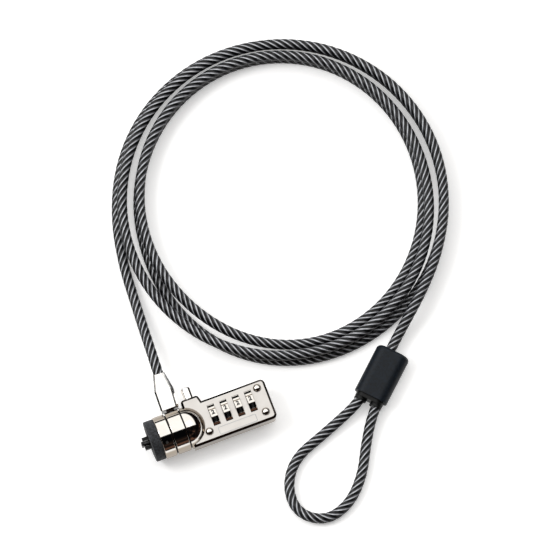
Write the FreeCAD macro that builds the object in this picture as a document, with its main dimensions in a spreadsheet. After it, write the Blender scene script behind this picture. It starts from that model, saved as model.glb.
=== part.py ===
import FreeCAD, Part
import math
import os
import re
import Sketcher
from FreeCAD import Placement, Rotation, Vector

# Combination cable lock for a laptop's security slot, in millimetres.
# The head is drawn with the barrel's axis on X and the pad's face at x = 0, and then
# moved so that the part's origin is under the middle of the lock, on the surface.

SIZES = {
    "rope": 5.5,
    "pad_end": 5.2,
    "pad_radius": 10.9,
    "pad_bore": 4.5,
    "pad_rim": 0.5,
    "ring_rim": 0.35,
    "barrel_radius": 11.45,
    "collar_end": 11.3,
    "washer": 0.5,
    "washer_radius": 10.3,
    "ring_start": 11.95,
    "ring_end": 19.15,
    "dome_start": 19.8,
    "neck_radius": 6.5,
    "running": 0.05,
    "spindle_radius": 1.3,
    "end_play": 0.2,
    "set_pin_x": 7.8,
    "set_pin_radius": 0.8,
    "set_pin_seat": 1.2,
    "set_pin_sunk": 0.3,
    "nose_reach": 4.6,
    "head_thick": 1.1,
    "head_long": 6.4,
    "head_wide": 2.3,
    "head_round": 0.7,
    "prong_end": 3.4,
    "prong_wide": 1.7,
    "prong_tall": 2.6,
    "slot_span": 6.6,
    "guide_sunk": 0.4,
    "plate_start": 20.8,
    "plate_end": 66.8,
    "plate_top": 10.3,
    "plate_bottom": 11.75,
    "plate_corner": 2.4,
    "plate_bevel": 1.15,
    "half_thick": 4.9,
    "cover": 1.9,
    "wall": 1.5,
    "boss_start": 22.0,
    "boss_end": 31.6,
    "boss_top": 14.0,
    "boss_slope": 0.9,
    "boss_round": 1.6,
    "button_x": 27.0,
    "button_radius": 2.8,
    "button_top": 20.45,
    "button_bore": 1.8,
    "button_crown": 0.9,
    "spring_hole": 6.6,
    "bridge_low": 3.1,
    "bridge_thick": 0.5,
    "flange_low": 7.9,
    "flange_high": 9.0,
    "flange_half": 2.9,
    "flange_front": 2.6,
    "chamber_top": 9.2,
    "chamber_start": 23.4,
    "chamber_end": 30.2,
    "chamber_low": 4.0,
    "chamber_floor": 4.2,
    "chamber_deep": 7.1,
    "rack_slot_low": 6.4,
    "rack_slot_wide": 3.2,
    "rack_slot_deep": 2.6,
    "rack_wide": 2.6,
    "rack_back": 3.9,
    "pinion_wide": 3.0,
    "pinion_pitch": 2.5,
    "tooth_tall": 0.8,
    "tooth_foot": 0.42,
    "tooth_tip": 0.2,
    "rack_tip": 0.14,
    "dial_x": 36.0,
    "dial_pitch": 6.86,
    "dial_y": 1.0,
    "dial_radius": 7.2,
    "dial_flat": 6.5,
    "dial_wide": 3.4,
    "dial_bore": 3.6,
    "dial_clear": 0.35,
    "spacer_thick": 1.3,
    "spacer_low": 4.6,
    "spacer_long": 8.5,
    "detent_thick": 0.5,
    "detent_gap": 0.35,
    "hub_disc": 2.75,
    "hub_disc_wide": 1.2,
    "shaft_radius": 1.5,
    "window_wide": 3.8,
    "window_long": 11.5,
    "pack_start": 32.6,
    "pack_end": 64.4,
    "pack_top": 8.5,
    "pack_bottom": 9.9,
    "rivet_radius": 2.15,
    "rivet_rise": 1.25,
    "rivet_shank": 1.1,
    "screw_radius": 2.2,
    "screw_slot_wide": 0.8,
    "pin_x": 15.6,
    "pin_y": 9.4,
    "pin_radius": 1.0,
    "pin_half": 6.2,
    "yoke_lean": -3.2,
    "yoke_length": 22.6,
    "yoke_foot": 2.8,
    "yoke_foot_half": 4.4,
    "yoke_base": 3.3,
    "yoke_base_half": 4.85,
    "yoke_waist": 13.6,
    "yoke_waist_half": 5.1,
    "yoke_mouth_half": 3.1,
    "left_facet": 0.9,
    "right_facet": 1.7,
    "mouth_round": 0.6,
    "plug_floor": 8.0,
    "plug_long": 2.6,
    "dimple_radius": 0.8,
    "dimple_deep": 1.0,
    "yoke_thick": 7.8,
    "tongue_half": 2.1,
    "tongue_thick": 5.2,
    "tongue_gap": 0.55,
    "tongue_floor": 7.0,
    "sleeve_long": 27.4,
    "sleeve_wide": 18.4,
    "sleeve_thick": 10.6,
    "sleeve_round": 2.2,
    "sleeve_roof": 3.0,
    "crimp_start": 4.0,
    "crimp_end": 29.4,
    "leg_start": 23.4,
    "crimp_wide": 15.6,
    "crimp_thick": 8.2,
    "collar_reach": 31.3,
    "collar_wall": 0.6,
    "leg_offset": 4.4,
    "leg_clear": 0.15,
    "tail_offset": 2.1,
}

doc = FreeCAD.newDocument("laptop_cable_lock")
sheet = doc.addObject("Spreadsheet::Sheet", "Dims")
for row, (word, value) in enumerate(SIZES.items(), start=1):
    sheet.set(f"A{row}", word)
    sheet.set(f"B{row}", str(value))
    sheet.setAlias(f"B{row}", word)
doc.recompute()

WORDS = re.compile(r"\b(" + "|".join(sorted(SIZES, key=len, reverse=True)) + r")\b")
HEAD_PLACE = {
    "x": "(nose_reach - plate_end) / 2",
    "y": "(plate_bottom - button_top) / 2",
    "z": "barrel_radius",
}
nodes = {}


def from_sheet(text):
    """An expression in the sheet's own words, as FreeCAD reads it."""
    return WORDS.sub(r"Dims.\1", text)


def bind(item, **words):
    """Bind properties of an object to expressions of the sheet."""
    for name, text in words.items():
        item.setExpression(name, from_sheet(text))


def bind_place(item, x="0", y="0", z="0"):
    for axis, text in (("x", x), ("y", y), ("z", z)):
        item.setExpression(f"Placement.Base.{axis}", from_sheet(text))


def finish(item, label, in_head=True):
    """Name a finished sub-part, and put a piece of the head where the head lies."""
    item.Label = label
    if in_head:
        bind_place(item, **HEAD_PLACE)
    nodes[label] = item
    return item


# Part primitives, each bound to the sheet

TURN_TO = {
    "x": Rotation(Vector(0, 1, 0), 90),
    "y": Rotation(Vector(1, 0, 0), -90),
    "z": Rotation(),
    "set_pin": Rotation(Vector(1, 0, 0), 27),
}


def rod(name, axis, start, radius, length):
    """A cylinder that runs from start along +axis."""
    item = doc.addObject("Part::Cylinder", name)
    item.Placement = Placement(Vector(), TURN_TO[axis])
    bind(item, Radius=radius, Height=length)
    bind_place(item, *start)
    return item


def on_set_pin(height):
    """The place on the set pin's line, 27 degrees off the top, at a distance from the barrel's axis."""
    return ("set_pin_x", f"-sin(27) * ({height})", f"cos(27) * ({height})")


def block(name, low, size):
    item = doc.addObject("Part::Box", name)
    bind(item, Length=size[0], Width=size[1], Height=size[2])
    bind_place(item, *low)
    return item


def ball(name, centre, radius, axis="z", from_angle=-90):
    """A ball, or the half of it on the axis's positive side when from_angle is 0."""
    item = doc.addObject("Part::Sphere", name)
    item.Angle1 = from_angle
    item.Placement = Placement(Vector(), TURN_TO[axis])
    bind(item, Radius=radius)
    bind_place(item, *centre)
    return item


def joined(name, *items):
    item = doc.addObject("Part::MultiFuse", name)
    item.Shapes = list(items)
    item.Refine = True
    return item


def cut(name, base, *tools):
    item = doc.addObject("Part::Cut", name)
    item.Base = base
    item.Tool = tools[0] if len(tools) == 1 else joined(name + "_tools", *tools)
    item.Refine = True
    return item


def common(name, first, second):
    item = doc.addObject("Part::MultiCommon", name)
    item.Shapes = [first, second]
    return item


def group(name, *items):
    """Separate solids kept together as one node."""
    item = doc.addObject("Part::Compound", name)
    item.Links = list(items)
    return item


# PartDesign bodies, made of sketches

def new_body(name):
    return doc.addObject("PartDesign::Body", name)


def origin_part(body, role):
    return next(f for f in body.Origin.OriginFeatures if f.Role == role)


def new_sketch(body, name, role, offset="0"):
    sketch = body.newObject("Sketcher::SketchObject", name)
    sketch.AttachmentSupport = [(origin_part(body, role), "")]
    sketch.MapMode = "FlatFace"
    sketch.setExpression("AttachmentOffset.Base.z", from_sheet(offset))
    return sketch


def fix(sketch, kind, name, text, *where):
    """One driving constraint, bound to the sheet."""
    index = sketch.addConstraint(Sketcher.Constraint(kind, *where, 1.0))
    sketch.renameConstraint(index, name)
    sketch.setExpression("Constraints." + name, from_sheet(text))


def draw_circle(sketch, x, y, radius):
    index = sketch.addGeometry(Part.Circle(Vector(1, 1, 0), Vector(0, 0, 1), 1.0))
    fix(sketch, "Radius", f"radius{index}", radius, index)
    fix(sketch, "DistanceX", f"across{index}", x, -1, 1, index, 3)
    fix(sketch, "DistanceY", f"up{index}", y, -1, 1, index, 3)


def draw_outline(sketch, corners):
    """A closed outline of straight lines, each corner bound to the sheet."""
    count = len(corners)
    first = sketch.GeometryCount
    ring = [Vector(math.cos(math.tau * i / count), math.sin(math.tau * i / count), 0) for i in range(count)]
    for i in range(count):
        sketch.addGeometry(Part.LineSegment(ring[i], ring[(i + 1) % count]))
    for i in range(count):
        sketch.addConstraint(Sketcher.Constraint("Coincident", first + i, 2, first + (i + 1) % count, 1))
    for i, (x, y) in enumerate(corners):
        fix(sketch, "DistanceX", f"across{first + i}", x, -1, 1, first + i, 1)
        fix(sketch, "DistanceY", f"up{first + i}", y, -1, 1, first + i, 1)


def draw_box(sketch, low_x, low_y, high_x, high_y):
    draw_outline(sketch, [(low_x, low_y), (high_x, low_y), (high_x, high_y), (low_x, high_y)])


def pad(body, sketch, name, length, both=False):
    feature = body.newObject("PartDesign::Pad", name)
    feature.Profile = sketch
    feature.Midplane = both
    bind(feature, Length=length)
    sketch.Visibility = False
    return feature


def pocket(body, sketch, name, length, turned=False, both=False):
    """A pocket, whose direction is proved by the volume that it takes."""
    doc.recompute()
    before = body.Shape.Volume
    feature = body.newObject("PartDesign::Pocket", name)
    feature.Profile = sketch
    feature.Reversed = turned
    feature.Midplane = both
    bind(feature, Length=length)
    doc.recompute()
    if body.Shape.Volume > before - 0.01:
        raise RuntimeError(f"{name} cuts nothing")
    return feature


def edges_where(feature, test):
    """The names of the edges of a feature whose middle passes the test."""
    doc.recompute()
    found = []
    for index, edge in enumerate(feature.Shape.Edges, start=1):
        middle = edge.valueAt((edge.FirstParameter + edge.LastParameter) / 2)
        if test(edge, middle):
            found.append(f"Edge{index}")
    return found


def soften(body, feature, kind, name, size, test):
    """A fillet or a chamfer on the edges that pass the test."""
    edges = edges_where(feature, test)
    if not edges:
        raise RuntimeError(f"{name} finds no edge")
    softened = body.newObject(f"PartDesign::{kind}", name)
    softened.Base = (feature, edges)
    if kind == "Fillet":
        bind(softened, Radius=size)
    else:
        bind(softened, Size=size)
    doc.recompute()
    return softened


def value(word):
    return SIZES[word]


def near(a, b):
    return abs(a - b) < 0.01


def ring_body(label, start, end, outer, inner, edge):
    """A turned ring round the barrel's axis with both outer rims softened."""
    body = new_body(label)
    sketch = new_sketch(body, label + "_section", "YZ_Plane", start)
    draw_circle(sketch, "0", "0", outer)
    draw_circle(sketch, "0", "0", inner)
    ring = pad(body, sketch, label + "_turned", f"({end}) - ({start})")
    doc.recompute()
    rim = max(e.Curve.Radius for e in ring.Shape.Edges if hasattr(e.Curve, "Radius"))
    soften(body, ring, "Fillet", label + "_rims", edge,
           lambda e, m: hasattr(e.Curve, "Radius") and near(e.Curve.Radius, rim) and e.isClosed())
    return body


# The front of the barrel

def rubber_pad():
    finish(ring_body("rubber_pad", "0", "pad_end", "pad_radius", "pad_bore", "pad_rim"), "rubber_pad")


def front_collar():
    ring = ring_body("collar_ring", "pad_end", "collar_end", "barrel_radius", "neck_radius", "ring_rim")
    hole = rod("collar_pin_hole", "set_pin", on_set_pin("neck_radius - 2"), "set_pin_radius", "barrel_radius")
    finish(cut("collar", ring, hole), "front_collar")


def collar_pin():
    """The set pin that keeps the collar on the neck, a little below the collar's surface."""
    pin = rod("pin_shank", "set_pin", on_set_pin("neck_radius - set_pin_seat"), "set_pin_radius",
              "barrel_radius - neck_radius + set_pin_seat - set_pin_sunk")
    finish(group("pin", pin), "collar_pin")


def guide_pins():
    """Two prongs that fill the ends of the slot, on the disc inside the pad."""
    disc = rod("guide_disc", "x", ("guide_sunk", "0", "0"), "pad_bore - running", "pad_end - guide_sunk")
    prongs = []
    for side, low in (("upper", "slot_span / 2 - prong_wide"), ("lower", "-slot_span / 2")):
        prongs.append(block(f"{side}_prong", ("-prong_end", low, "-prong_tall / 2"),
                            ("prong_end + guide_sunk + 0.2", "prong_wide", "prong_tall")))
    bore = rod("guide_bore", "x", ("-1", "0", "0"), "spindle_radius + running", "pad_end + 2")
    finish(cut("guide", joined("guide_solid", disc, *prongs), bore), "guide_pins")


def t_bar():
    """Hammer head, spindle and pinion in one, turned by the button's rack."""
    body = new_body("t_bar_body")
    sketch = new_sketch(body, "spindle_section", "YZ_Plane", "-nose_reach")
    draw_circle(sketch, "0", "0", "spindle_radius")
    pad(body, sketch, "spindle", "nose_reach + chamber_end - end_play")
    sketch = new_sketch(body, "hammer_section", "YZ_Plane", "-nose_reach")
    draw_box(sketch, "-head_wide / 2", "-head_long / 2", "head_wide / 2", "head_long / 2")
    hammer = pad(body, sketch, "hammer", "head_thick")
    low, high = -value("nose_reach"), -value("nose_reach") + value("head_thick")
    soften(body, hammer, "Fillet", "hammer_ends", "head_round",
           lambda e, m: near(abs(m.z), value("head_long") / 2) and near(m.x, (low + high) / 2))
    sketch = new_sketch(body, "pinion_core_section", "YZ_Plane", "button_x - pinion_wide / 2")
    draw_circle(sketch, "0", "0", "pinion_pitch - tooth_tall * 0.6")
    pad(body, sketch, "pinion_core", "pinion_wide")
    sketch = new_sketch(body, "tooth_section", "YZ_Plane", "button_x - pinion_wide / 2")
    foot, tip = "pinion_pitch - tooth_tall * 0.5", "pinion_pitch + tooth_tall * 0.4"
    draw_outline(sketch, [("-tooth_foot", "pinion_pitch / 2"), ("tooth_foot", "pinion_pitch / 2"),
                          ("tooth_foot - 0.02", foot), ("tooth_tip", tip),
                          ("-tooth_tip", tip), ("-tooth_foot + 0.02", foot)])
    tooth = pad(body, sketch, "tooth", "pinion_wide")
    doc.recompute()
    teeth = body.newObject("PartDesign::PolarPattern", "teeth")
    teeth.Originals = [tooth]
    teeth.Axis = (origin_part(body, "X_Axis"), [""])
    teeth.Angle = 360
    teeth.Occurrences = 10
    body.Tip = teeth
    finish(body, "t_bar")


# The turning ring that carries the cable

def swivel_ring():
    ring = ring_body("ring_blank", "ring_start", "ring_end", "barrel_radius", "neck_radius + running", "ring_rim")
    slot = block("tongue_pocket", ("pin_x - tongue_half - tongue_gap", "tongue_floor", "-tongue_thick / 2 - 2 * running"),
                 ("2 * (tongue_half + tongue_gap)", "barrel_radius - tongue_floor + 1.5", "tongue_thick + 4 * running"))
    hole = rod("yoke_pin_hole", "z", ("pin_x", "pin_y", "-pin_half"), "pin_radius", "2 * pin_half")
    finish(cut("ring", ring, slot, hole), "swivel_ring")


def yoke_pin():
    pin = rod("yoke_pin_shank", "z", ("pin_x", "pin_y", "-pin_half"), "pin_radius", "2 * pin_half")
    whole = rod("yoke_pin_trim", "x", ("ring_start", "0", "0"), "barrel_radius", "ring_end - ring_start")
    finish(common("yoke_pin_solid", pin, whole), "yoke_pin")


def swivel_washers():
    """The thin dark washers that the ring turns between."""
    parts = []
    for side, start in (("front", "collar_end"), ("rear", "dome_start - washer")):
        disc = rod(f"{side}_washer_disc", "x", (start, "0", "0"), "washer_radius", "washer")
        hole = rod(f"{side}_washer_hole", "x", (f"{start} - 1", "0", "0"), "neck_radius", "washer + 2")
        parts.append(cut(f"{side}_washer", disc, hole))
    finish(group("washers", *parts), "swivel_washers")


def yoke():
    """Flat end fitting: a rounded tongue on the pin and a faceted body that tapers to the rope."""
    body = new_body("yoke_body")
    sketch = new_sketch(body, "yoke_outline", "XY_Plane")
    half = [("yoke_foot_half", "yoke_foot"), ("yoke_base_half", "yoke_base"),
            ("yoke_waist_half", "yoke_waist"), ("yoke_mouth_half", "yoke_length")]
    draw_outline(sketch, half + [("-" + x, y) for x, y in reversed(half)])
    flat = pad(body, sketch, "yoke_flat", "yoke_thick", both=True)
    face = value("yoke_thick") / 2
    edge = soften(body, flat, "Chamfer", "yoke_left_facets", "left_facet",
                  lambda e, m: near(abs(m.z), face) and m.x < -3 and m.y > value("yoke_base"))
    edge = soften(body, edge, "Chamfer", "yoke_right_facets", "right_facet",
                  lambda e, m: near(abs(m.z), face) and m.x > 3 and m.y > value("yoke_base"))
    soften(body, edge, "Fillet", "yoke_mouth", "mouth_round",
           lambda e, m: near(m.y, value("yoke_length")) and near(abs(m.z), face))
    sketch = new_sketch(body, "tongue_outline", "XY_Plane")
    draw_box(sketch, "-tongue_half", "0", "tongue_half", "yoke_foot + 0.6")
    pad(body, sketch, "tongue", "tongue_thick", both=True)
    sketch = new_sketch(body, "tongue_eye", "XY_Plane")
    draw_circle(sketch, "0", "0", "tongue_half")
    pad(body, sketch, "tongue_end", "tongue_thick", both=True)
    sketch = new_sketch(body, "pin_hole_section", "XY_Plane")
    draw_circle(sketch, "0", "0", "pin_radius + running")
    pocket(body, sketch, "pin_hole", "2 * yoke_thick", both=True)
    sketch = new_sketch(body, "rope_hole_section", "XZ_Plane", "-yoke_length")
    draw_circle(sketch, "0", "0", "rope / 2 + running")
    pocket(body, sketch, "rope_hole", "yoke_length - plug_floor", turned=True)
    place_yoke(finish(body, "yoke", in_head=False))


def place_yoke(item):
    """Stand a piece drawn from the pin on the yoke's leaning axis."""
    item.Placement = Placement(Vector(), Rotation(Vector(0, 0, 1), value("yoke_lean")))
    bind_place(item, HEAD_PLACE["x"] + " + pin_x", HEAD_PLACE["y"] + " + pin_y", HEAD_PLACE["z"])


def yoke_plug():
    """The metal plug crimped on the rope's end, at the bottom of the yoke's hole."""
    plug = rod("plug_core", "y", ("0", "plug_floor", "0"), "rope / 2 + running", "plug_long")
    dimple = rod("plug_dimple", "y", ("0", "plug_floor - 0.5", "0"), "dimple_radius", "dimple_deep + 0.5")
    nut = cut("plug_body", plug, dimple)
    place_yoke(finish(nut, "yoke_plug", in_head=False))


# The body with the dial pack

def outline_prism(name, low_z, high_z):
    """The plate's outline with its shoulder for the button, corners rounded."""
    body = new_body(name)
    sketch = new_sketch(body, name + "_outline", "XY_Plane", low_z)
    draw_outline(sketch, [("plate_start", "-plate_bottom"), ("plate_end", "-plate_bottom"),
                          ("plate_end", "plate_top"), ("boss_end + boss_slope", "plate_top"),
                          ("boss_end", "boss_top"), ("boss_start", "boss_top"),
                          ("boss_start", "0"), ("plate_start", "0")])
    prism = pad(body, sketch, name + "_prism", f"({high_z}) - ({low_z})")
    rounded = soften(body, prism, "Fillet", name + "_corners", "plate_corner",
                     lambda e, m: near(m.x, value("plate_end")) and e.Curve.TypeId == "Part::GeomLine"
                     and near(abs(e.tangentAt(e.FirstParameter).z), 1))
    soften(body, rounded, "Fillet", name + "_shoulder", "boss_round",
           lambda e, m: m.y > value("plate_top") and e.Curve.TypeId == "Part::GeomLine"
           and near(abs(e.tangentAt(e.FirstParameter).z), 1))
    return body


def bevel_top(body, name, top, size):
    """A bevel along the outline's upper edge."""
    return soften(body, body.Tip, "Chamfer", name, size, lambda e, m: near(m.z, top))


def dial_places():
    return [f"dial_x + {k} * dial_pitch" for k in range(4)]


def window_cutters(name, low_z, height):
    """One slot through a wall for each dial."""
    return [block(f"{name}_{k + 1}", (f"{x} - window_wide / 2", "dial_y - window_long / 2", low_z),
                  ("window_wide", "window_long", height)) for k, x in enumerate(dial_places())]


def dial_reliefs(name):
    """The round hollow that keeps a window's ends clear of the dial below them."""
    return [rod(f"{name}_{k + 1}", "x", (f"{x} - window_wide / 2", "dial_y", "0"),
                "dial_radius + dial_clear", "window_wide") for k, x in enumerate(dial_places())]


# Degrees that each dial is turned on, and the rivets' places on the face
DIAL_TURN = 6
RIVETS = [("62.0", "6.3"), ("61.9", "-7.0"), ("30.8", "-6.6")]


def body_housing():
    """Dome, neck and tray in one casting, hollow for the pinion, the rack and the dial pack."""
    tray = outline_prism("tray", "-half_thick", "half_thick - cover")
    dome = ball("dome", ("dome_start", "0", "0"), "barrel_radius", "x", 0)
    neck = rod("neck", "x", ("pad_end", "0", "0"), "neck_radius", "dome_start - pad_end + 1")
    solid = joined("housing_solid", tray, dome, neck)
    tools = [
        rod("spindle_bore", "x", ("0", "0", "0"), "spindle_radius + running", "chamber_end"),
        block("chamber", ("chamber_start", "-chamber_low", "-chamber_floor"),
              ("chamber_end - chamber_start", "chamber_top + chamber_low", "chamber_deep")),
        block("rack_slot", ("button_x - rack_slot_wide / 2", "-rack_slot_low", "-chamber_floor"),
              ("rack_slot_wide", "rack_slot_low - 1.4", "rack_slot_deep")),
        rod("button_hole", "y", ("button_x", "5", "0"), "button_radius + running", "20"),
        block("pack_space", ("pack_start", "-pack_bottom", "-half_thick + wall"),
              ("pack_end - pack_start", "pack_bottom + pack_top", "2 * half_thick")),
        rod("shaft_seat", "x", ("pack_start - 1", "dial_y", "0"), "shaft_radius", "2"),
        rod("screw_hole", "x", ("pack_end - 1", "dial_y", "0"), "screw_radius + running", "5"),
        rod("pin_seat", "set_pin", on_set_pin("neck_radius - set_pin_seat"), "set_pin_radius", "4"),
    ]
    tools += window_cutters("rear_window", "-half_thick - 1", "wall + 2")
    tools += dial_reliefs("rear_relief")
    hollow = cut("housing_hollow", solid, *tools)
    bridge = block("spring_bridge", ("chamber_start - 0.5", "bridge_low", "-1.6"),
                   ("chamber_end - chamber_start + 1", "bridge_thick", "3.2"))
    posts = [rod(f"rivet_post_{i}", "z", (x, y, "-half_thick + 0.5"), "rivet_shank + 1",
                 "2 * half_thick - cover - 0.5") for i, (x, y) in enumerate(RIVETS)]
    holes = [rod(f"rivet_seat_{i}", "z", (x, y, "-half_thick + 1.5"), "rivet_shank", "10")
             for i, (x, y) in enumerate(RIVETS)]
    finish(cut("housing", joined("housing_posts", hollow, bridge, *posts), *holes), "body_housing")


def face_plate():
    """The satin cover with its four windows, cut round the dome."""
    blank = outline_prism("face_blank", "half_thick - cover", "half_thick")
    bevel_top(blank, "face_bevel", value("half_thick"), "plate_bevel")
    tools = [ball("face_dome_clearance", ("dome_start", "0", "0"), "barrel_radius", "x")]
    tools += window_cutters("face_window", "0", "10")
    tools += dial_reliefs("face_relief")
    tools += [rod(f"face_rivet_hole_{i}", "z", (x, y, "0"), "rivet_shank", "10") for i, (x, y) in enumerate(RIVETS)]
    finish(cut("face", blank, *tools), "face_plate")


def face_rivets():
    """Three dome-headed rivets: a shank through the plate and a low cap on it."""
    rivets = []
    for i, (x, y) in enumerate(RIVETS):
        shank = rod(f"shank_{i}", "z", (x, y, "-half_thick + 1.5"), "rivet_shank", "2 * half_thick - 1")
        rise = "(rivet_radius ^ 2 + rivet_rise ^ 2) / (2 * rivet_rise)"
        cap_ball = ball(f"cap_ball_{i}", (x, y, f"half_thick + rivet_rise - {rise}"), rise)
        cap_box = block(f"cap_box_{i}", (f"{x} - 5", f"{y} - 5", "half_thick"), ("10", "10", "5"))
        rivets.append(joined(f"rivet_{i}", shank, common(f"cap_{i}", cap_ball, cap_box)))
    finish(group("rivets", *rivets), "face_rivets")


def push_button():
    """Button with the flange that stops it and the rack that turns the T-bar."""
    body = new_body("button_body")
    sketch = new_sketch(body, "button_section", "XZ_Plane", "-button_top")
    draw_circle(sketch, "button_x", "0", "button_radius")
    stem = pad(body, sketch, "button_stem", "button_top - flange_low")
    doc.recompute()
    top = value("button_top")
    soften(body, stem, "Fillet", "button_crown_round", "button_crown", lambda e, m: near(m.y, top))
    sketch = new_sketch(body, "flange_section", "XZ_Plane", "-flange_high")
    draw_box(sketch, "button_x - flange_half", "-rack_back", "button_x + flange_half", "flange_front")
    pad(body, sketch, "flange", "flange_high - flange_low")
    pitch = "pinion_pitch * 0.62832"
    low = "pinion_pitch - tooth_tall * 0.4 + 0.05"
    root = "pinion_pitch + tooth_tall * 0.6"
    corners = [("flange_low + 0.2", "-rack_back"), ("flange_low + 0.2", f"-({root})")]
    for k in (4, 3, 2, 1, 0):
        middle = f"{pitch} * ({k} - 0.5)"
        corners += [(f"{middle} + tooth_foot", f"-({root})"), (f"{middle} + rack_tip", f"-({low})"),
                    (f"{middle} - rack_tip", f"-({low})"), (f"{middle} - tooth_foot", f"-({root})")]
    corners += [(f"-{pitch} - 0.3", f"-({root})"), (f"-{pitch} - 0.3", "-rack_back")]
    sketch = new_sketch(body, "rack_section", "YZ_Plane", "button_x - rack_wide / 2")
    draw_outline(sketch, corners)
    pad(body, sketch, "rack", "rack_wide")
    sketch = new_sketch(body, "spring_hole_section", "XZ_Plane", "-flange_low")
    draw_circle(sketch, "button_x", "0", "button_bore")
    pocket(body, sketch, "spring_hole_bored", "spring_hole")
    finish(body, "push_button")


def button_spring():
    """Pressure spring between the housing's bridge and the bottom of the button's hole."""
    wire = 0.4
    coil_radius = 1.35
    turns = 8
    low = value("bridge_low") + value("bridge_thick") + wire / 2
    high = value("flange_low") + value("spring_hole") - wire / 2
    helix = Part.makeHelix((high - low) / turns, high - low, coil_radius)
    start = Vector(coil_radius, 0, 0)
    section = Part.Wire(Part.Circle(start, Vector(0, 1, 0), wire / 2).toShape())
    spring = Part.Wire(helix.Edges).makePipeShell([section], True, True)
    item = doc.addObject("Part::Feature", "spring_wire")
    item.Shape = spring
    item.Label = "button_spring"
    item.Placement = Placement(Vector(0, low, 0), TURN_TO["y"])
    bind_place(item, HEAD_PLACE["x"] + " + button_x", HEAD_PLACE["y"] + f" + {low}", HEAD_PLACE["z"])
    nodes["button_spring"] = item


def number_dial(k, x):
    """A ten-sided wheel with a raised bar on each corner; the flats between them carry the numbers."""
    label = f"dial_{k}"
    body = new_body(label + "_body")
    sketch = new_sketch(body, label + "_section", "YZ_Plane", f"{x} - dial_wide / 2")
    corners = []
    top_half, foot_half = 4.5, 6.5
    for i in range(10):
        bar = 36 * i + 18 + DIAL_TURN
        for turn, radius in ((bar - foot_half, "dial_flat + 0.08"), (bar - top_half, "dial_radius"),
                             (bar + top_half, "dial_radius"), (bar + foot_half, "dial_flat + 0.08")):
            corners.append((f"dial_y + ({radius}) * cos({turn})", f"({radius}) * sin({turn})"))
    draw_outline(sketch, corners)
    draw_circle(sketch, "dial_y", "0", "dial_bore")
    pad(body, sketch, label + "_wheel", "dial_wide")
    finish(body, label)


def code_hub(k, x):
    """The sleeve that a dial sits on, with the gated disc beside it."""
    label = f"code_hub_{k}"
    end = f"{x} + dial_wide / 2"
    sleeve = rod(label + "_sleeve", "x", (f"{x} - dial_wide / 2", "dial_y", "0"), "dial_bore", "dial_wide + 0.1")
    disc = rod(label + "_disc", "x", (end, "dial_y", "0"), "hub_disc", "hub_disc_wide")
    bore = rod(label + "_bore", "x", (f"{x} - 5", "dial_y", "0"), "shaft_radius + running", "12")
    gate = block(label + "_gate", (f"{end} + 0.15", "dial_y + 2", "-0.6"), ("2", "3", "1.2"))
    finish(cut(label + "_solid", joined(label + "_blank", sleeve, disc), bore, gate), label)


def dial_shaft():
    shaft = rod("shaft_rod", "x", ("pack_start - 1", "dial_y", "0"), "shaft_radius", "pack_end - pack_start - 0.9")
    finish(group("shaft", shaft), "dial_shaft")


def dial_spacers():
    """Thin plates between the dials, held by the tray and the cover; the last one bears the shaft."""
    plates = []
    for k, x in enumerate(dial_places()):
        start = f"{x} + dial_wide / 2 + hub_disc_wide + 0.35"
        plate = block(f"spacer_plate_{k}", (start, "-spacer_low", "-half_thick + wall"),
                      ("spacer_thick", "spacer_long", "2 * half_thick - wall - cover"))
        hole = rod(f"spacer_hole_{k}", "x", (f"{start} - 1", "dial_y", "0"), "shaft_radius", "4")
        plates.append(cut(f"spacer_{k}", plate, hole))
    finish(group("spacers", *plates), "dial_spacers")


def detent_spring():
    """A flat spring along the tray's wall with one nose for each dial."""
    strip = block("detent_strip", ("pack_start + 0.4", "-pack_bottom", "-2.6"),
                  ("pack_end - pack_start - 4", "detent_thick", "4.6"))
    noses = []
    for k, x in enumerate(dial_places()):
        noses.append(block(f"detent_nose_{k}", (f"{x} - 0.9", "-pack_bottom + detent_thick - 0.1", "-0.7"),
                           ("1.8", "dial_y - dial_radius + pack_bottom - detent_gap - 0.4", "1.4")))
    finish(joined("detent", strip, *noses), "detent_spring")


def code_screw():
    """The slotted screw in the end wall that frees the dials to set a new code."""
    head = rod("code_screw_head", "x", ("pack_end - 0.8", "dial_y", "0"), "screw_radius", "plate_end - pack_end + 0.6")
    slot = block("code_screw_slot", ("plate_end - 1", "dial_y - 3", "-screw_slot_wide / 2"),
                 ("2", "6", "screw_slot_wide"))
    finish(cut("screw", head, slot), "code_screw")


# The cable: free stretches of hand-chosen points, joined by tangent arcs, and the coil

COIL_CENTRE = (78.7, 93.7)
COIL_LEFT = 159.3
COIL_FROM = -22.0
COIL_TO = 1294.0
COIL_BIARCS = 15
OUTER_RADIUS = 86.2
INNER_RADIUS = 76.8
INNER_OVAL = 1.8
LAYER = 6.0


def ease(low, width, turn):
    """0 before low, 1 after low + width, smooth between."""
    share = min(max((turn - low) / width, 0.0), 1.0)
    return share * share * (3.0 - 2.0 * share)


def coil_radius(turn):
    """The loops go from the outer to the inner place while the first one ends, and out again in the third.
    The inner loops are a little oval, and one is pushed in where the next one crosses."""
    inner = ease(255.0, 90.0, turn) - ease(830.0, 200.0, turn)
    upper = ease(610.0, 75.0, turn)
    angle = math.radians(turn)
    radius = OUTER_RADIUS
    radius -= inner * (OUTER_RADIUS - INNER_RADIUS + INNER_OVAL * math.cos(2 * angle))
    radius -= 3.0 * math.exp(-((turn - 668.0) / 45.0) ** 2)
    radius -= upper * (1.0 - inner) * (1.4 + 1.2 * math.cos(angle))
    radius += 0.0035 * max(0.0, 5.0 - turn) ** 2
    radius += 0.003 * max(0.0, turn - 1262.0) ** 2
    return radius


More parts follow.
